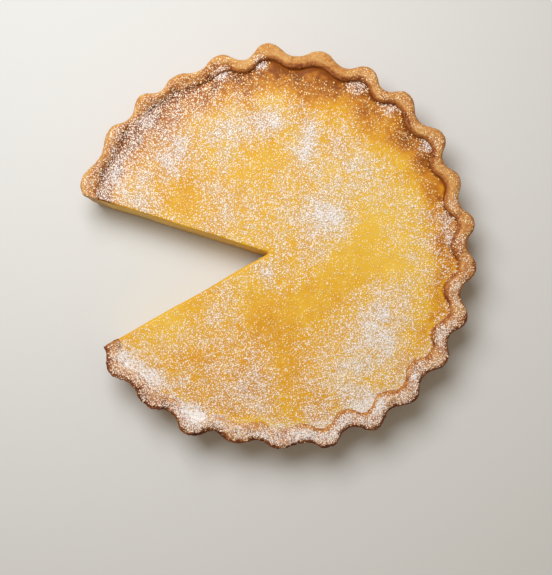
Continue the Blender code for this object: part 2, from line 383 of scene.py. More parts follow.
def shape_shell(mesh):
    """Lumps and flutes where the solid has them, then the finer relief of the baked surface."""
    depths = mesh.verts.layers.float.new("depth")
    creases = mesh.verts.layers.float.new("crease")
    mesh.normal_update()
    for vertex in mesh.verts:
        vertex[depths] = depth_in_wall(vertex)
        if vertex.co.z > FOOT_ROUNDING:
            lump = DOUGH_LUMPS[1] * noise.noise(vertex.co / DOUGH_LUMPS[0])
            vertex.co += lump * (1 - vertex[depths]) * vertex.normal
    for vertex in mesh.verts:
        lift_rim(vertex)
    press_into_tin(mesh)
    mesh.normal_update()
    for vertex in mesh.verts:
        if vertex.co.z > FOOT_ROUNDING and (vertex[depths] < 1 or vertex.co.z > LOWEST_SHOWING):
            relief = sum(height * noise.noise(vertex.co / spacing) for spacing, height in BAKED_RELIEF)
            crease = abs(noise.noise(vertex.co / CREASE_SPACING + CREASE_OFFSET))
            crease = max(1 - crease / CREASE_SHARE, 0)
            rough_side = smooth(facing(vertex, ROUGHEST_DEG), *ROUGH_SIDE)
            rougher = SMOOTHEST + (ROUGHEST - SMOOTHEST) * rough_side
            fold = folded(vertex)
            vertex[creases] = min(crease + FOLD_CREASES * fold * 1000, MOST_CREASED)
            vertex.co += (relief - CREASE_DEPTH * crease) * rougher * vertex.normal - Vector((0, 0, fold))


def off_cut(point):
    """How far a point is from the slice's place, the level way away from it, and how far out it is."""
    from_tip = point.xy - CUT_TIP
    nearest = None
    for way, into_pie in CUT_FACES:
        along = max(from_tip.dot(way), 0)
        away = from_tip - along * way
        if nearest is None or away.length < nearest[0]:
            nearest = (away.length, into_pie if along > 0 else away.to_3d().normalized(), along)
    return nearest


def cut_slice_from(item):
    """Takes the slice out with an exact Boolean, and returns the cut mesh to work on."""
    modifier = item.modifiers.new("slice", "BOOLEAN")
    modifier.operation = "DIFFERENCE"
    modifier.solver = "EXACT"
    modifier.object = knife_cut
    evaluated = item.evaluated_get(bpy.context.evaluated_depsgraph_get())
    mesh = bmesh.new()
    mesh.from_mesh(evaluated.to_mesh())
    evaluated.to_mesh_clear()
    item.modifiers.clear()
    return mesh


def mark_cut(mesh, whole, skin_faces):
    """Marks the cut faces, and how deep under the uncut piece's baked skin each of their points lies.

    The skin is what faces up by at least skin_faces, the height of its normal.
    """
    cut = mesh.verts.layers.float.new("cut")
    under = mesh.verts.layers.float.new("under")
    for vertex in mesh.verts:
        if off_cut(vertex.co)[0] < TOUCHING:
            vertex[cut] = 1
            normal, index, distance = whole.find_nearest(vertex.co)[1:]
            vertex[under] = distance if normal.z >= skin_faces else NO_SKIN
    return cut


def wander(mesh):
    """Bends each cut a little from side to side, as the knife went; at the tip it stays true."""
    for vertex in mesh.verts:
        off, away, along = off_cut(vertex.co)
        if off < WANDER_REACH:
            share = (1 - off / WANDER_REACH) ** 2 * min(along / WANDER_SPACING, 1)
            vertex.co += KNIFE_WANDER * share * noise.noise(vertex.co / WANDER_SPACING) * away


def crumble(mesh, cut):
    """Breaks the shell's cut faces into short crumbly pits."""
    for vertex in mesh.verts:
        if vertex[cut] and vertex.co.z > FOOT_ROUNDING:
            coarse = noise.noise(vertex.co / CRUMBLE_SPACING)
            fine = noise.noise(vertex.co * FINER_CRUMBLE / CRUMBLE_SPACING)
            pit = max(PITTED + coarse + FINE_SHARE * fine, 0)
            vertex.co += CRUMBLE_DEPTH * pit * off_cut(vertex.co)[1]


def brown_and_shade_shell(mesh):
    """How brown each point of the shell is baked, with the painted shade that darkens some places."""
    toast = mesh.verts.layers.float.new("toast")
    depths = mesh.verts.layers.float["depth"]
    creases = mesh.verts.layers.float["crease"]
    for vertex in mesh.verts:
        depth = vertex[depths]
        on_lip = lip(bearing(vertex.co))
        # Darker towards one side, away from the window
        darker = SIDE_DARKENING * facing(vertex, DARKEST_SIDE_DEG) * smooth(-depth, -1, -SIDE_DEPTH)
        # Painted shade in the creases and fold hollows
        darker += CREASE_PAINTED_SHADE * vertex[creases]
        darker += LIP_TOAST * on_lip * smooth(depth, *LIP_DEPTHS)
        # The inner wall: browned by the custard's juice, and painted shade on the side away from the window
        wandering = depth + INNER_WALL_WANDER * noise.noise(vertex.co / INNER_WALL_SPACING)
        wall = LEAST_INSIDE + (1 - LEAST_INSIDE) * facing(vertex, DARKEST_INSIDE_DEG)
        wall *= smooth(wandering, *INNER_WALL_DEPTHS) * (1 - LIP_PROTECTS * on_lip)
        darker += INNER_WALL_TOAST_AND_SHADE * wall
        # Painted shade on the rim's outer edge, on the side away from the window
        widest = smooth(facing(vertex, WIDEST_SHADE_DEG), *WIDEST_SHADE)
        painted_shade = smooth(-depth, -NARROWEST_SHADE - WIDER_SHADE * widest, -FULL_SHADE)
        painted_shade *= smooth(facing(vertex, SHADED_SIDE_DEG), *SHADED_SIDE) * smooth(vertex.co.z, *SHADE_HEIGHTS)
        darker += PAINTED_SHADE_AMOUNT * painted_shade
        clouds = TOAST_CLOUDS * noise.noise(vertex.co / CLOUD_SPACING)
        vertex[toast] = min(max(PLAIN_TOAST + darker + clouds, 0), 1)


def linear(code):
    """An sRGB hex colour in linear light, with full alpha."""
    values = [int(code[place:place + 2], 16) / 255 for place in (0, 2, 4)]
    return [v / 12.92 if v <= 0.04045 else ((v + 0.055) / 1.055) ** 2.4 for v in values] + [1]


def add(tree, kind, settings, links=()):
    """Adds a node, sets its sockets (by name or number) and properties, and links its inputs.

    The links lead from sockets, or from a node's first one.
    """
    node = tree.nodes.new("ShaderNode" + kind)
    for name, value in settings.items():
        if isinstance(name, int) or name in node.inputs:
            node.inputs[name].default_value = value
        elif name == "stops":
            while len(node.color_ramp.elements) < len(value):
                node.color_ramp.elements.new(0.5)
            for element, (place, code) in zip(node.color_ramp.elements, value):
                element.position = place
                element.color = linear(code)
        else:
            setattr(node, name, value)
    for name, source in dict(links).items():
        tree.links.new(getattr(source, "outputs", [source])[0], node.inputs[name])
    return node


def new_finish(name):
    """A new material and its shader."""
    material = bpy.data.materials.new(name)
    material.use_nodes = True
    return material, material.node_tree.nodes["Principled BSDF"]


def baked_skin(tree, textures, middle, stops):
    """The colour of skin as brown as its points are, painted shade included, varied by textures around their
    middle value.
    """
    browned = add(tree, "Attribute", {"attribute_name": "toast"}).outputs["Fac"]
    for texture, strength in textures:
        browned = add(tree, "Math", {"operation": "MULTIPLY_ADD", 1: strength}, {0: texture, 2: browned})
    centred = add(tree, "Math", {"operation": "SUBTRACT", 1: middle}, {0: browned})
    return add(tree, "ValToRGB", {"stops": stops}, {"Fac": centred})


def opened_by_knife(tree, skin, inside, skin_end, inside_start):
    """The skin's colour, and on the cut faces the colour inside, from so deep under the skin."""
    cut = add(tree, "Attribute", {"attribute_name": "cut"}).outputs["Fac"]
    under = add(tree, "Attribute", {"attribute_name": "under"}).outputs["Fac"]
    deep = add(tree, "MapRange", {"From Min": skin_end, "From Max": inside_start}, {"Value": under})
    opened = add(tree, "Math", {"operation": "MULTIPLY"}, {0: deep, 1: cut})
    colour = add(tree, "Mix", {"data_type": "RGBA"}, {0: opened, 6: skin, 7: inside})
    return colour.outputs[2]


def make_baked_shortcrust():
    """Baked shortcrust, a matt, sandy butter dough: golden, mottled and flecked, paler where broken."""
    material, shader = new_finish("baked_shortcrust")
    tree = material.node_tree
    place = add(tree, "TexCoord", {}).outputs["Object"]
    # Butter and flour brown in patches some 6 mm wide, with toasted flecks of about 1 mm
    mottle = add(tree, "TexNoise", {"Scale": 1 / 0.006, "Detail": 4, "Roughness": 0.6}, {"Vector": place})
    fleck = add(tree, "TexNoise", {"Scale": 1 / 0.0011, "Detail": 2}, {"Vector": place})
    skin = baked_skin(tree, ((mottle, 0.70), (fleck, 0.76)), 0.73, (
        (0.0, "DCB075"), (0.35, "CA904D"), (0.60, "AF6B32"), (0.80, "8A481B"), (1.0, "622A0F")))
    # The crumb is pale from about 1 mm under the baked skin
    crumb = add(tree, "ValToRGB", {"stops": ((0.3, "B78A55"), (0.6, "D6B889"))}, {"Fac": fleck})
    colour = opened_by_knife(tree, skin, crumb, 0.0003, 0.0012)
    tree.links.new(colour, shader.inputs["Base Color"])
    # Sandy grain of about 0.4 mm
    grain = add(tree, "TexNoise", {"Scale": 1 / 0.0004, "Detail": 3, "Roughness": 0.65}, {"Vector": place})
    bump = add(tree, "Bump", {"Strength": 0.55, "Distance": 0.00035}, {"Height": grain})
    tree.links.new(bump.outputs[0], shader.inputs["Normal"])
    shader.inputs["Roughness"].default_value = 0.82
    shader.inputs["IOR"].default_value = 1.45
    return material


shell_mesh = turned(shell_section(), SHELL_COLUMNS)
shape_shell(shell_mesh)
whole_shell = BVHTree.FromBMesh(shell_mesh)
shell = new_object("shortcrust_shell", shell_mesh)
shell_mesh = cut_slice_from(shell)
shell_cut = mark_cut(shell_mesh, whole_shell, SKIN_ALL_ROUND)
crumble(shell_mesh, shell_cut)
wander(shell_mesh)
brown_and_shade_shell(shell_mesh)
shell_mesh.to_mesh(shell.data)
shell.data.shade_smooth()
shell.data.materials.append(make_baked_shortcrust())
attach(shell, "root")
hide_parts("crust")


# --- The baked custard ------------------------------------
# Buttermilk custard, poured into the shell and baked until it set. Its skin rose in low puffs and
# sank again at one side of the wall; it lies smooth and a little glossy where no sugar covers it.
CUSTARD_LEVEL = 0.0279
DISH_DEPTH = 0.0006
DISH_RADIUS = 0.055
SWELL_HEIGHT = 0.0004
SWELL_RADIUS = 0.088
EDGE_WIDTH = 0.0040
EDGE_DROP = 0.0006
SINK_DEPTH = 0.0012
SINK_SHARPNESS = 4
DEEPEST_SINK_DEG = 80.0
SINK_ONE_SIDED = 2
# How far the custard reaches into the shell, so that no gap shows
BOND = 0.0003
CUSTARD_COLUMNS = 24
SURFACE_SPACING = 0.0011
CROWDED_RADIUS = 0.045
PUFFS = ((0.0130, 0.00022), (0.0045, 0.00010), (0.0018, 0.00005))
FINE_BAND = 0.0030
CUT_EDGE_ROUNDING = 0.0020
SMEAR_DEPTH = 0.00016
SMEAR_SPACING = Vector((0.0035, 0.0035, 0.0012))
# Only what faces up, by the height of its normal, baked to a skin
SKIN_ON_TOP = 0.3
LOWEST_BROWNED = LOWEST_SHOWING - 0.002
# So near the middle, a place is taken to be this far from the wall
NEAR_MIDDLE, FAR_FROM_WALL = 0.07, 0.05
HEEL_STEPS, EDGE_STEPS = 3, 8
# How brown the skin baked, from 0 to 1: all over, and how much more in a band along the wall and in a
# narrow line beside most of it, which both change with the direction in degrees. The line is browned skin
# and also painted shade of the rim, most of all where it is widest, under the lip.
SKIN_TOAST = 0.30
SKIN_CLOUDS = ((0.017, 0.08), (0.006, 0.05))
BAND_TOAST = ((0, 0.44), (30, 0.54), (50, 0.53), (75, 0.66), (100, 0.70), (120, 0.50), (165, 0.36),
              (200, 0.05), (230, 0.14), (270, 0.12), (310, 0.14), (340, 0.34), (360, 0.44))
BAND_WIDTH = ((0, 0.018), (30, 0.022), (60, 0.025), (100, 0.026), (120, 0.020), (165, 0.016),
              (200, 0.008), (270, 0.020), (310, 0.012), (340, 0.012), (360, 0.018))
BAND_CLOUDS = ((0.0065, 0.34), (0.0024, 0.48))
BAND_EDGE_WANDER, BAND_EDGE_SPACING = 0.5, 0.015
BAND_EDGE_OFFSET = Vector((5, 0, 0))
BAND_FALLOFF = 0.8
# The line along the wall is browned skin and also painted shade cast by the rim
LINE_TOAST_AND_SHADE = ((0, 0.38), (123, 0.38), (138, 0.50), (166, 0.50), (175, 0), (291, 0), (327, 0.28),
              (360, 0.38))
LINE_WIDTH = ((0, 0.0014), (60, 0.0024), (115, 0.0024), (132, 0.0070), (166, 0.0078), (175, 0.0012),
              (300, 0.0012), (360, 0.0014))
LINE_EDGE_WANDER, LINE_EDGE_SPACING = 0.8, 0.006
# A paler margin on one side, and patches: millimetres from the middle, reach in millimetres, how much
MARGIN_TOAST = -0.22
MARGIN_WIDTH = 0.0045
MARGIN_MIDDLE_DEG = 300
MARGIN_SIDE = (0.5, 0.9)
TOAST_PATCHES = ((-40, -60, 22, 0.16), (-8, -40, 12, 0.12), (5, -60, 22, 0.10), (-12, -78, 14, 0.08),
                 (60, 20, 30, -0.14), (75, 0, 25, -0.10), (-52, 28, 16, 0.08), (20, 88, 12, 0.05),
                 (60, -85, 18, -0.12), (0, -100, 14, -0.10), (-60, -42, 12, -0.1), (-70, 55, 22, 0.16),
                 (-25, -88, 26, 0.09), (-66, 74, 12, 0.14), (20, -85, 20, 0.08), (92, 12, 12, 0.12),
                 (76, 62, 5, 0.14), (84, 50, 5, 0.16), (90, 34, 4.5, 0.13))


def custard_height(radius):
    """The custard's surface along a radius: a shallow dish with a low swell outside it."""
    rise = smooth(radius, DISH_RADIUS, SWELL_RADIUS)
    return CUSTARD_LEVEL + SWELL_HEIGHT * rise - DISH_DEPTH * (1 - rise)


def custard_section():
    """Bottom corner, side, rounded edge and surface, from the custard's underside to its middle."""
    heel_height = BASE_THICKNESS + HEEL_ROUNDING
    heel_centre = (inner_radius(heel_height) - HEEL_ROUNDING, heel_height)
    corner = arc(heel_centre, (HEEL_ROUNDING + BOND, HEEL_ROUNDING + BOND), -90, 0, HEEL_STEPS)
    shoulder = CUSTARD_LEVEL + SWELL_HEIGHT - EDGE_DROP
    outermost = inner_radius(shoulder) + BOND - EDGE_WIDTH
    edge = arc((outermost, shoulder), (EDGE_WIDTH, EDGE_DROP), 0, 90, EDGE_STEPS)
    rings = round(outermost / SURFACE_SPACING)
    radii = [outermost * (1 - ring / rings) for ring in range(1, rings)]
    return corner + edge + [(radius, custard_height(radius)) for radius in radii]


def sink_edge(vertex):
    """The custard's edge has sunk down the leaning wall on one side, and stands full on the other."""
    radius = vertex.co.xy.length
    nearness = min(max((radius - SWELL_RADIUS) / (inner_radius(CUSTARD_LEVEL) - SWELL_RADIUS), 0), 1)
    drop = SINK_DEPTH * facing(vertex, DEEPEST_SINK_DEG) ** SINK_ONE_SIDED * nearness ** SINK_SHARPNESS
    vertex.co.z -= drop
    vertex.co.xy *= 1 - drop * WALL_LEAN / SHOULDER / radius


def shape_custard(mesh):
    """Sinks the edge, presses the custard into the flutes and raises its low puffs."""
    for vertex in mesh.verts:
        if vertex.co.z > CUSTARD_LEVEL - EDGE_WIDTH:
            sink_edge(vertex)
    press_into_tin(mesh)
    for vertex in mesh.verts:
        if vertex.co.z > CUSTARD_LEVEL - EDGE_WIDTH:
            vertex.co.z += sum(height * noise.noise(vertex.co / spacing) for spacing, height in PUFFS)
    crowded = [vertex for vertex in mesh.verts if vertex.co.xy.length < CROWDED_RADIUS]
    bmesh.ops.remove_doubles(mesh, verts=crowded, dist=SURFACE_SPACING / 2)


def refine_near_cut(mesh):
    """Divides the custard's surface more finely in a band along each cut, for its round edge."""
    near = {vertex for vertex in mesh.verts
            if vertex.co.z > LOWEST_SHOWING and off_cut(vertex.co)[0] < FINE_BAND}
    edges = [edge for edge in mesh.edges if near.issuperset(edge.verts)]
    bmesh.ops.subdivide_edges(mesh, edges=edges, cuts=2, use_grid_fill=True)


def round_cut_edge(mesh, cut, whole):
    """Pulls the custard's edge along the cut into a small round: the surface down, the face back."""
    for vertex in mesh.verts:
        off, away, along = off_cut(vertex.co)
        if off > CUT_EDGE_ROUNDING or vertex.co.z < LOWEST_SHOWING - CUT_EDGE_ROUNDING:
            continue
        above = Vector((*vertex.co.xy, RIM_HEIGHT)) + away * TOUCHING
        surface = whole.ray_cast(above, Vector((0, 0, -1)))[0]
        deep = surface.z - vertex.co.z if surface else 0
        if vertex[cut] and deep < CUT_EDGE_ROUNDING:
            turn = math.radians(45 + 45 * max(deep, 0) / CUT_EDGE_ROUNDING)
        elif not vertex[cut] and deep < CUT_EDGE_ROUNDING / 4:
            turn = math.radians(45 - 45 * off / CUT_EDGE_ROUNDING)
        else:
            continue
        back = CUT_EDGE_ROUNDING * (1 - math.sin(turn)) - off
        down = CUT_EDGE_ROUNDING * (1 - math.cos(turn)) - deep
        vertex.co += back * away - Vector((0, 0, down))


def smear(mesh, cut):
    """The blade's drag in the custard: low marks that run level along the cut faces."""
    for vertex in mesh.verts:
        if vertex[cut]:
            place = Vector(a / b for a, b in zip(vertex.co, SMEAR_SPACING))
            vertex.co += SMEAR_DEPTH * (1 + noise.noise(place)) * off_cut(vertex.co)[1]


def around(table, place):
    """The value in a place's direction, between the two rows (degrees, value) on either side of it."""
    turn_deg = math.degrees(bearing(place)) % 360
    for (start, before), (end, after) in zip(table, table[1:]):
        if turn_deg <= end:
            return before + (after - before) * (turn_deg - start) / (end - start)


def wall_offset(vertex):
    """How far inside the wall's inner face a point of the custard lies, flutes and all."""
    if vertex.co.xy.length < NEAR_MIDDLE:
        return FAR_FROM_WALL
    return whole_shell.find_nearest(vertex.co)[3]


def brown_and_shade_custard(mesh):
    """How brown each point of the custard's skin is baked, with painted shade in the line along the wall."""
    toast = mesh.verts.layers.float.new("toast")
    for vertex in mesh.verts:
        if vertex.co.z < LOWEST_BROWNED:
            continue
        inside = wall_offset(vertex)
        wandering = noise.noise(vertex.co / BAND_EDGE_SPACING + BAND_EDGE_OFFSET)
        width = around(BAND_WIDTH, vertex.co) * (1 + BAND_EDGE_WANDER * wandering)
        uneven = 1 + sum(amount * noise.noise(vertex.co / spacing) for spacing, amount in BAND_CLOUDS)
        darker = around(BAND_TOAST, vertex.co) * smooth(-inside, -width, 0) ** BAND_FALLOFF * uneven
        margin = smooth(facing(vertex, MARGIN_MIDDLE_DEG), *MARGIN_SIDE)
        darker += MARGIN_TOAST * margin * smooth(-inside, -MARGIN_WIDTH, -MARGIN_WIDTH / 3)
        # The line along the wall: browning, and painted shade of the rim
        wandering = noise.noise(vertex.co / LINE_EDGE_SPACING)
        width = around(LINE_WIDTH, vertex.co) * (1 + LINE_EDGE_WANDER * wandering)
        darker += around(LINE_TOAST_AND_SHADE, vertex.co) * smooth(-inside, -width, -width / 3)
        for x, y, reach, amount in TOAST_PATCHES:
            off = (vertex.co.xy * 1000 - Vector((x, y))).length / reach
            darker += amount * math.exp(-off * off)
        clouds = sum(amount * noise.noise(vertex.co / spacing) for spacing, amount in SKIN_CLOUDS)
        vertex[toast] = min(max(SKIN_TOAST + darker + clouds, 0), 1)


def make_set_custard():
    """Baked custard, egg and buttermilk set to a soft solid: a satin yellow skin, browned in places."""
    material, shader = new_finish("set_custard")
    tree = material.node_tree
    place = add(tree, "TexCoord", {}).outputs["Object"]
    # The skin is mottled in patches of 5 mm and freckled at 1 mm, where bubbles rose and browned
    mottle = add(tree, "TexNoise", {"Scale": 1 / 0.005, "Detail": 5, "Roughness": 0.62}, {"Vector": place})
    freckle = add(tree, "TexNoise", {"Scale": 1 / 0.0010, "Detail": 2}, {"Vector": place})
    skin = baked_skin(tree, ((mottle, 0.30), (freckle, 0.30)), 0.30, (
        (0.0, "E5BD47"), (0.25, "E0AE2D"), (0.42, "D89B1E"),
        (0.62, "C68019"), (0.80, "AD6614"), (1.0, "84450E")))
    # On a cut face the skin shows as a line of about 0.6 mm along the top
    flesh = add(tree, "ValToRGB", {"stops": ((0.3, "E0B44C"), (0.65, "E8C369"))}, {"Fac": mottle})
    colour = opened_by_knife(tree, skin, flesh, 0.0003, 0.0010)
    tree.links.new(colour, shader.inputs["Base Color"])
    # The fine wrinkle of the dried skin, about 0.8 mm
    wrinkle = add(tree, "TexNoise", {"Scale": 1 / 0.0008, "Detail": 3}, {"Vector": place})
    bump = add(tree, "Bump", {"Strength": 0.35, "Distance": 0.0002}, {"Height": wrinkle})
    tree.links.new(bump.outputs[0], shader.inputs["Normal"])
    shader.inputs["Roughness"].default_value = 0.50
    shader.inputs["IOR"].default_value = 1.40
    shader.inputs["Specular IOR Level"].default_value = 0.25
    shader.inputs["Subsurface Weight"].default_value = 0.12
    shader.inputs["Subsurface Radius"].default_value = (1.0, 0.55, 0.15)
    shader.inputs["Subsurface Scale"].default_value = 0.003
    return material


custard_mesh = turned(custard_section(), CUSTARD_COLUMNS)
shape_custard(custard_mesh)
refine_near_cut(custard_mesh)
whole_custard = BVHTree.FromBMesh(custard_mesh)
custard = new_object("baked_custard", custard_mesh)
custard_mesh = cut_slice_from(custard)
custard_cut = mark_cut(custard_mesh, whole_custard, SKIN_ON_TOP)
round_cut_edge(custard_mesh, custard_cut, whole_custard)
smear(custard_mesh, custard_cut)
wander(custard_mesh)
brown_and_shade_custard(custard_mesh)
custard_mesh.to_mesh(custard.data)
custard.data.shade_smooth()
custard.data.materials.append(make_set_custard())
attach(custard, "root")
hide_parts("filling")
bpy.data.objects.remove(knife_cut)


# --- The icing sugar --------------------------------------
# Fine white powder, shaken from a sieve held by hand, so it lies in drifts and bare places and is
# thick in the hollows of the rim. What is finer than the clumps is in the two surfaces' finish.
# The dusting where nothing else is said, from 0 to about 1, and how unevenly it fell
SUGAR_BASE = 0.41
SUGAR_CLOUDS = ((0.008, 0.45), (0.003, 0.35))
# Where more or less fell: from, to and reach in millimetres from the middle, and how much
DRIFTS = (
    (-80, 64, -95, 38.5, 3.4, 0.32), (-56, 62, -60, 54, 8, 0.55), (-72, 75, -74, 73, 5, 0.5),
    (-31, 102, -29, 102, 3.6, 0.55), (-7, 108, -6, 107, 4, 1.1), (-31, 68, -2, 75, 9, 0.38),
    (103, 5, 101, 16, 4.5, 0.28), (88, 61, 89, 60, 4, 0.7), (66, 82, 67, 81, 4, 0.6),
    (50, 94, 43, 95, 4, 0.5), (60, -87, 58, -88, 5, 0.3), (-2, 74, 0, 73, 5, 0.4),
    (18, 57, 22, 70, 6, 0.4), (18, 55, 19, 57, 6, 0.3), (25, 20, 27, 22, 16, 0.40),
    (32, 18, 42, 17, 8, 0.35), (41, 55, 54, 40, 9, 0.25), (-86, 32, -80, 30, 12, 0.35),
    (-31, 23, -29, 23, 16, 0.12), (-6, -12, -4, -13, 5, 0.35), (-33, -35, -30, -34, 9, 0.2),
    (66, -29, 60, -48, 11, 0.33), (60, -46, 44, -70, 12, 0.35), (50, -87, 46, -86, 8, 0.5),
    (-14, -80, -9, -74, 9, 0.25), (-86, -61, -84, -65, 4.8, 0.85), (-76, -69, -67, -74.5, 4.6, 0.6),
    (-50, -93, -44, -95.5, 4.4, 0.85), (86, -17, 84, 22, 6, 0.05), (-51, 29, -50, 28, 9, -0.35),
    (-10, 50, -4, 58, 10, -0.2), (-7, -39, -6, -38, 9, -0.6), (15, -35, 44, -12, 10, -0.6),
    (44, -12, 55, 12, 9, -0.35), (4, -55, 10, -92, 8, -0.25), (67, -9, 68, -8, 8, -0.35),
    (-68, -44, -37, -29, 7, -0.22), (-52, -62, -50, -61, 8, -0.12), (-64, -52, -57, -54, 7, 0.12),
    (-22, 97, -14, 96, 7, -0.2), (-57, -81, -56, -80, 6, 0.2), (-24, -98, -16, -100, 6, -0.2),
    (-16, -24, -14, -23, 7, -0.15), (66, -62, 64, -66, 7, 0.2), (25, 44, 26, 50, 5, 0.15),
    (49, 22, 50, 24, 8, -0.12), (-36, 54, -30, 56, 7, 0.12), (-58, 79, -56, 81, 5, 0.2),
    (-82, 44, -66, 40, 5, 0.12), (86, -52, 98, -24, 5, -0.22), (22, -19, 28, -16, 5, 0.15),
    (48, -26, 49, -20, 4, 0.15), (2, 104, 32, 94, 9, -0.75), (32, 94, 61, 71, 8, -0.30),
    (61, 71, 93, 35, 8, -0.42), (-30, -85, 30, -92, 14, 0.12), (96, 5, 93, -29, 6, -0.1),
    (106, -23, 107, -22, 4, 0.4), (97, -49, 98, -48, 4, 0.35), (82, -71, 83, -70, 4, 0.35),
    (104, 28, 105, 28, 4, 0.3))
# On the rim, which starts between these radii: the direction in degrees, and how much lies there
RIM_START = (0.098, 0.106)
RIM_DUSTING = ((0, 0.27), (35, 0.18), (60, 0.24), (75, 0.10), (90, 0.15), (105, 0.26), (120, 0.31),
               (140, 0.38), (165, 0.42), (205, 0.38), (225, 0.54), (250, 0.70), (275, 0.86),
               (300, 0.74), (320, 0.62), (345, 0.45), (360, 0.27))
# The least that fell on the custard, and how far down any reached
LEAST_SUGAR = 0.16
LOWEST_DUSTED = LOWEST_SHOWING - 0.003
# How level a surface has to be, by the height of its normal, to keep some of the powder, and all of it
KEEPS_POWDER = (0.45, 0.95)
# On one side the powder filled the corner between the wall and the custard, and on the lip it stays
# where the dough slopes in. The depths are those in the wall, as above.
CORNER_HOLDS = 1.6
CORNER_DEPTHS = (0.9, 1)
SILTED_MIDDLE_DEG = 200
SILTED_SIDE = (0.60, 0.85)
LIP_HOLDS = 1.3
SLOPE_DEPTHS = (0.5, 0.8)
# The rim's outer edge keeps little of what fell on it, and its inner edge sheds some onto the custard
EDGE_KEEPS = 0.20
OUTER_EDGE_DEPTHS = (0.04, 0.38)
INNER_EDGE_SHEDS = 0.75
INNER_EDGE_DEPTHS = (0.78, 0.95)
SHEDDING_SIDE_DEG = 10
SIDE_SHEDS_MORE = 1.2
SHED_SPACING = 0.010
SHED_BLEND = 0.15
CLUMPS_ON_CUSTARD = 9500
CLUMPS_ON_SHELL = 5200
GRAINS = 24000
CLUMP_WIDTH = 0.00070
SHELL_CLUMP_WIDTH = 0.00055
GRAIN_WIDTH = 0.00055
SIZE_SPREAD = 0.28
# A clump's shape: how uneven it is, in how many lumps across, how flat, and how far it stands out
UNEVENNESS = 0.45
LUMPS_ACROSS = 3
FLATNESS = 0.4
STANDS_OUT = 0.15
# So far from the cut, the knife wiped the sugar away
CLEAN_EDGE = 0.0016
# A thin dusting takes up the custard's moisture and some of its colour; a thick one stays white
SUGAR_WHITES = ((0.10, "F9D58A"), (0.32, "FFE9CC"), (0.7, "FFF1E4"), (1.0, "FDF6F2"))
# The powder's specks: how far apart and how wide they are, in metres; the sandy dough breaks them up.
# Each is white over this share of its width, and no more than so many of their places are taken.
SPECK_CORE = 0.75
MOST_SPECKS = 0.87
SPECKS_ON_SHELL = ((0.00108, 0.00080), (0.00076, 0.00055))
SPECKS_ON_CUSTARD = ((0.00125, 0.00095), (0.00085, 0.00062))
# Where much fell, a film of the finest powder greys what shows between the specks; the grey is also
# painted shade between the specks
FILM_AND_SHADE_FROM, FILM_AND_SHADE_FULL = 0.35, 1.0
FILM_AND_SHADE_COVER = 0.48
FILM_AND_SHADE_COLOUR = "B69D8E"
# Powder shows from the first amount on, and fully from the second; the specks run together between
# the other two, which are the amount times the lumps' noise
TRACE_FROM, TRACE_FULL = 0.02, 0.10
HEAPS_FROM, HEAPS_FULL = 0.51, 0.765


def sugar_at(place):
    """How thickly the sieve dusted one place, from 0 to about 1; the knife wiped the cut's edges."""
    on_rim = smooth(place.xy.length, *RIM_START)
    amount = SUGAR_BASE + (around(RIM_DUSTING, place) - SUGAR_BASE) * on_rim
    here = place.xy * 1000
    for x1, y1, x2, y2, reach, more in DRIFTS:
        amount += more * math.exp(-(off_line(here, Vector((x1, y1)), Vector((x2, y2))) / reach) ** 2)
    level = Vector((*place.xy, 0))
    amount *= sum((share * noise.noise(level / spacing) for spacing, share in SUGAR_CLOUDS), start=1)
    wiped = smooth(off_cut(place)[0], CLEAN_EDGE / 2, CLEAN_EDGE)
    return max(amount, LEAST_SUGAR * (1 - on_rim)) * wiped


def dust(piece):
    """Gives each point its share of the powder: what faces up, and the corner that it silted up."""
    mesh = bmesh.new()
    mesh.from_mesh(piece.data)
    mesh.normal_update()
    sugar = mesh.verts.layers.float.new("sugar")
    depths = mesh.verts.layers.float.get("depth")
    for vertex in mesh.verts:
        if vertex.co.z > LOWEST_DUSTED:
            kept = smooth(vertex.normal.z, *KEEPS_POWDER)
            if depths:
                depth = vertex[depths]
                on_lip = lip(bearing(vertex.co))
                silted_side = smooth(facing(vertex, SILTED_MIDDLE_DEG), *SILTED_SIDE)
                silted = max(CORNER_HOLDS * silted_side * smooth(depth, *CORNER_DEPTHS),
                             LIP_HOLDS * on_lip * smooth(depth, *SLOPE_DEPTHS))
                side = SIDE_SHEDS_MORE * (facing(vertex, SHEDDING_SIDE_DEG) - 0.5)
                shed = smooth(noise.noise(vertex.co / SHED_SPACING) + side, -SHED_BLEND, SHED_BLEND)
                shed = shed * (1 - on_lip) * (1 - silted_side)
                kept *= 1 - INNER_EDGE_SHEDS * shed * smooth(depth, *INNER_EDGE_DEPTHS)
                off_edge = EDGE_KEEPS + (1 - EDGE_KEEPS) * smooth(depth, *OUTER_EDGE_DEPTHS)
                kept = max(kept, silted) * off_edge
            vertex[sugar] = sugar_at(vertex.co) * kept
    mesh.to_mesh(piece.data)
    mesh.free()


def specks(tree, place, spacing, width, taken):
    """Round specks scattered in a share of the cells that a surface divides into."""
    cells = add(tree, "TexVoronoi", {"Scale": 1 / spacing}, {"Vector": place})
    lot = add(tree, "SeparateColor", {}, {"Color": cells.outputs["Color"]})
    chosen = add(tree, "Math", {"operation": "LESS_THAN"}, {0: lot.outputs["Red"], 1: taken})
    edge = width / spacing / 2
    round_speck = add(tree, "MapRange", {"From Min": edge, "From Max": edge * SPECK_CORE},
                      {"Value": cells.outputs["Distance"]})
    return add(tree, "Math", {"operation": "MULTIPLY"}, {0: round_speck, 1: chosen})


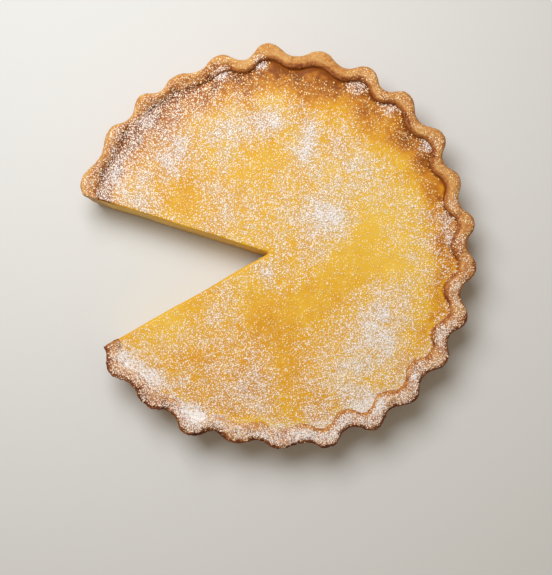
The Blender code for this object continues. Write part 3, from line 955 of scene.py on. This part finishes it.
def add_powder(material, sizes):
    """Lays the finest powder over a finish, in specks that run together where more of it lies."""
    tree = material.node_tree
    shader = tree.nodes["Principled BSDF"]
    bare = shader.inputs["Base Color"].links[0].from_socket
    relief = shader.inputs["Normal"].links[0].from_socket
    place = add(tree, "TexCoord", {}).outputs["Object"]
    amount = add(tree, "Attribute", {"attribute_name": "sugar"}).outputs["Fac"]
    # The more sugar there is, the more of the specks' places are taken
    taken = add(tree, "Math", {"operation": "MINIMUM", 1: MOST_SPECKS}, {0: amount})
    layers = [specks(tree, place, spacing, width, taken) for spacing, width in sizes]
    scattered = add(tree, "Math", {"operation": "MAXIMUM"}, {0: layers[0], 1: layers[1]})
    # In the middle of a drift they run together
    lumps = add(tree, "TexNoise", {"Scale": 1 / 0.0009, "Detail": 2}, {"Vector": place})
    lumpy = add(tree, "Math", {"operation": "MULTIPLY"}, {0: lumps, 1: amount})
    heaped = add(tree, "MapRange", {"From Min": HEAPS_FROM, "From Max": HEAPS_FULL}, {"Value": lumpy})
    covered = add(tree, "Math", {"operation": "MAXIMUM"}, {0: scattered, 1: heaped})
    some = add(tree, "MapRange", {"From Min": TRACE_FROM, "From Max": TRACE_FULL}, {"Value": amount})
    powder = add(tree, "Math", {"operation": "MULTIPLY"}, {0: covered, 1: some})
    white = add(tree, "ValToRGB", {"stops": SUGAR_WHITES}, {"Fac": amount})
    # The grey film: finest powder, and painted shade between the specks
    film_and_shade = add(tree, "MapRange",
               {"From Min": FILM_AND_SHADE_FROM, "From Max": FILM_AND_SHADE_FULL, "To Max": FILM_AND_SHADE_COVER}, {"Value": amount})
    greyed = add(tree, "Mix", {"data_type": "RGBA", 7: linear(FILM_AND_SHADE_COLOUR)}, {0: film_and_shade, 6: bare})
    colour = add(tree, "Mix", {"data_type": "RGBA"}, {0: powder, 6: greyed.outputs[2], 7: white})
    tree.links.new(colour.outputs[2], shader.inputs["Base Color"])
    bare_roughness = shader.inputs["Roughness"].default_value
    rough = add(tree, "MapRange", {"To Min": bare_roughness, "To Max": 1.0}, {"Value": powder})
    tree.links.new(rough.outputs[0], shader.inputs["Roughness"])
    heap = add(tree, "Bump", {"Strength": 0.3, "Distance": 0.0003}, {"Height": powder, "Normal": relief})
    tree.links.new(heap.outputs[0], shader.inputs["Normal"])


def make_icing_sugar():
    """Icing sugar, starch and sugar ground to flour: dead matt, white where it is thick."""
    material, shader = new_finish("icing_sugar")
    tree = material.node_tree
    amount = add(tree, "Attribute", {"attribute_name": "sugar"}).outputs["Fac"]
    colour = add(tree, "ValToRGB", {"stops": SUGAR_WHITES}, {"Fac": amount})
    tree.links.new(colour.outputs["Color"], shader.inputs["Base Color"])
    # Light scatters from grain to grain inside a clump and evens its shading, as if it faced up more
    facet = add(tree, "NewGeometry", {}).outputs["Normal"]
    evened = add(tree, "VectorMath", {"operation": "ADD", 1: (0, 0, 2)}, {0: facet})
    unit = add(tree, "VectorMath", {"operation": "NORMALIZE"}, {0: evened})
    tree.links.new(unit.outputs[0], shader.inputs["Normal"])
    shader.inputs["Roughness"].default_value = 1.0
    shader.inputs["IOR"].default_value = 1.45
    return material


def clump_shapes(segments, rings, count):
    """A few irregular flattened lumps, one wide, that all the clumps are copies of."""
    shapes = []
    for number in range(count):
        mesh = bmesh.new()
        bmesh.ops.create_uvsphere(mesh, u_segments=segments, v_segments=rings, radius=0.5)
        for vertex in mesh.verts:
            vertex.co *= 1 + UNEVENNESS * noise.noise(vertex.co * LUMPS_ACROSS + Vector((number, 0, 0)))
            vertex.co.z *= FLATNESS
        mesh.verts.index_update()
        shapes.append(([vertex.co.copy() for vertex in mesh.verts],
                       [[vertex.index for vertex in face.verts] for face in mesh.faces]))
        mesh.free()
    return shapes


def strew(name, where, shapes, width, count, seed):
    """Drops clumps from above, keeps those that the sieve shook onto one surface, and joins them."""
    chance = random.Random(seed)
    polygons = dusted[where].data.polygons
    sugar = dusted[where].data.attributes["sugar"].data
    points, faces, thick = [], [], []
    placed = 0
    while placed < count:
        turn = chance.uniform(0, 2 * math.pi)
        reach = cad_reach * math.sqrt(chance.random())
        above = Vector((reach * math.cos(turn), reach * math.sin(turn), 2 * RIM_HEIGHT))
        falls = [surface.ray_cast(above, Vector((0, 0, -1))) for surface in surfaces]
        landed, normal, index = min(falls, key=lambda fall: math.inf if fall[0] is None else fall[3])[:3]
        if landed is None or landed.z < LOWEST_BROWNED or landed != falls[where][0]:
            continue
        amount = sugar[polygons[index].vertices[0]].value
        if chance.random() > amount:
            continue
        vertices, shape_faces = shapes[placed % len(shapes)]
        size = width * chance.lognormvariate(0, SIZE_SPREAD)
        turned_by = Matrix.Rotation(chance.uniform(0, 2 * math.pi), 3, "Z")
        start = len(points)
        middle = landed + normal * size * STANDS_OUT
        points += [middle + size * (turned_by @ point) for point in vertices]
        faces += [[start + corner for corner in face] for face in shape_faces]
        thick += [amount] * len(vertices)
        placed += 1
    data = bpy.data.meshes.new(name)
    data.from_pydata(points, [], faces)
    data.attributes.new("sugar", "FLOAT", "POINT").data.foreach_set("value", thick)
    data.shade_smooth()
    return new_item(name, data)


cad_reach = max(abs(value) for corner in cad_box for value in corner)
dusted = (shell, custard)
ON_SHELL, ON_CUSTARD = 0, 1
for piece, sizes in zip(dusted, (SPECKS_ON_SHELL, SPECKS_ON_CUSTARD)):
    dust(piece)
    add_powder(piece.data.materials[0], sizes)
icing_sugar = make_icing_sugar()
depsgraph = bpy.context.evaluated_depsgraph_get()
surfaces = [BVHTree.FromObject(piece, depsgraph) for piece in dusted]
clumps = clump_shapes(segments=5, rings=3, count=7)
grains = clump_shapes(segments=4, rings=2, count=5)
sugar_pieces = (
    strew("sugar_clumps_on_custard", ON_CUSTARD, clumps, CLUMP_WIDTH, CLUMPS_ON_CUSTARD, seed=3),
    strew("sugar_clumps_on_shell", ON_SHELL, clumps, SHELL_CLUMP_WIDTH, CLUMPS_ON_SHELL, seed=11),
    strew("sugar_grains_on_custard", ON_CUSTARD, grains, GRAIN_WIDTH, GRAINS, seed=5))
for piece in sugar_pieces:
    piece.data.materials.append(icing_sugar)
    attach(piece, "root")


# --- The floor and the light ------------------------------
# A plain pale table, and the soft light of one large window beyond the pie and a little to the left.
FLOOR_SIZE = 3.0
WINDOW_PLACE = Vector((-0.18, 0.28, 0.66))
WINDOW_WIDTH, WINDOW_HEIGHT = 0.45, 0.42
WINDOW_WATTS = 5.36

floor_mesh = bmesh.new()
bmesh.ops.create_grid(floor_mesh, x_segments=1, y_segments=1, size=FLOOR_SIZE / 2)
floor = new_object("floor", floor_mesh)
pale_table, table_shader = new_finish("pale_table")
table_shader.inputs["Base Color"].default_value = linear("D4D4D2")
table_shader.inputs["Roughness"].default_value = 0.6
floor.data.materials.append(pale_table)

window_light = bpy.data.lights.new("window", "AREA")
window_light.shape = "RECTANGLE"
window_light.size = WINDOW_WIDTH
window_light.size_y = WINDOW_HEIGHT
window_light.energy = WINDOW_WATTS
window_light.color = linear("FAFCFF")[:3]
window = new_item("window", window_light)
window.location = WINDOW_PLACE
window.rotation_euler = (-WINDOW_PLACE).to_track_quat("-Z", "Y").to_euler()

room = bpy.data.worlds.new("room")
room.use_nodes = True
room.node_tree.nodes["Background"].inputs["Color"].default_value = linear("F5E6CC")
room.node_tree.nodes["Background"].inputs["Strength"].default_value = 0.354
bpy.context.scene.world = room
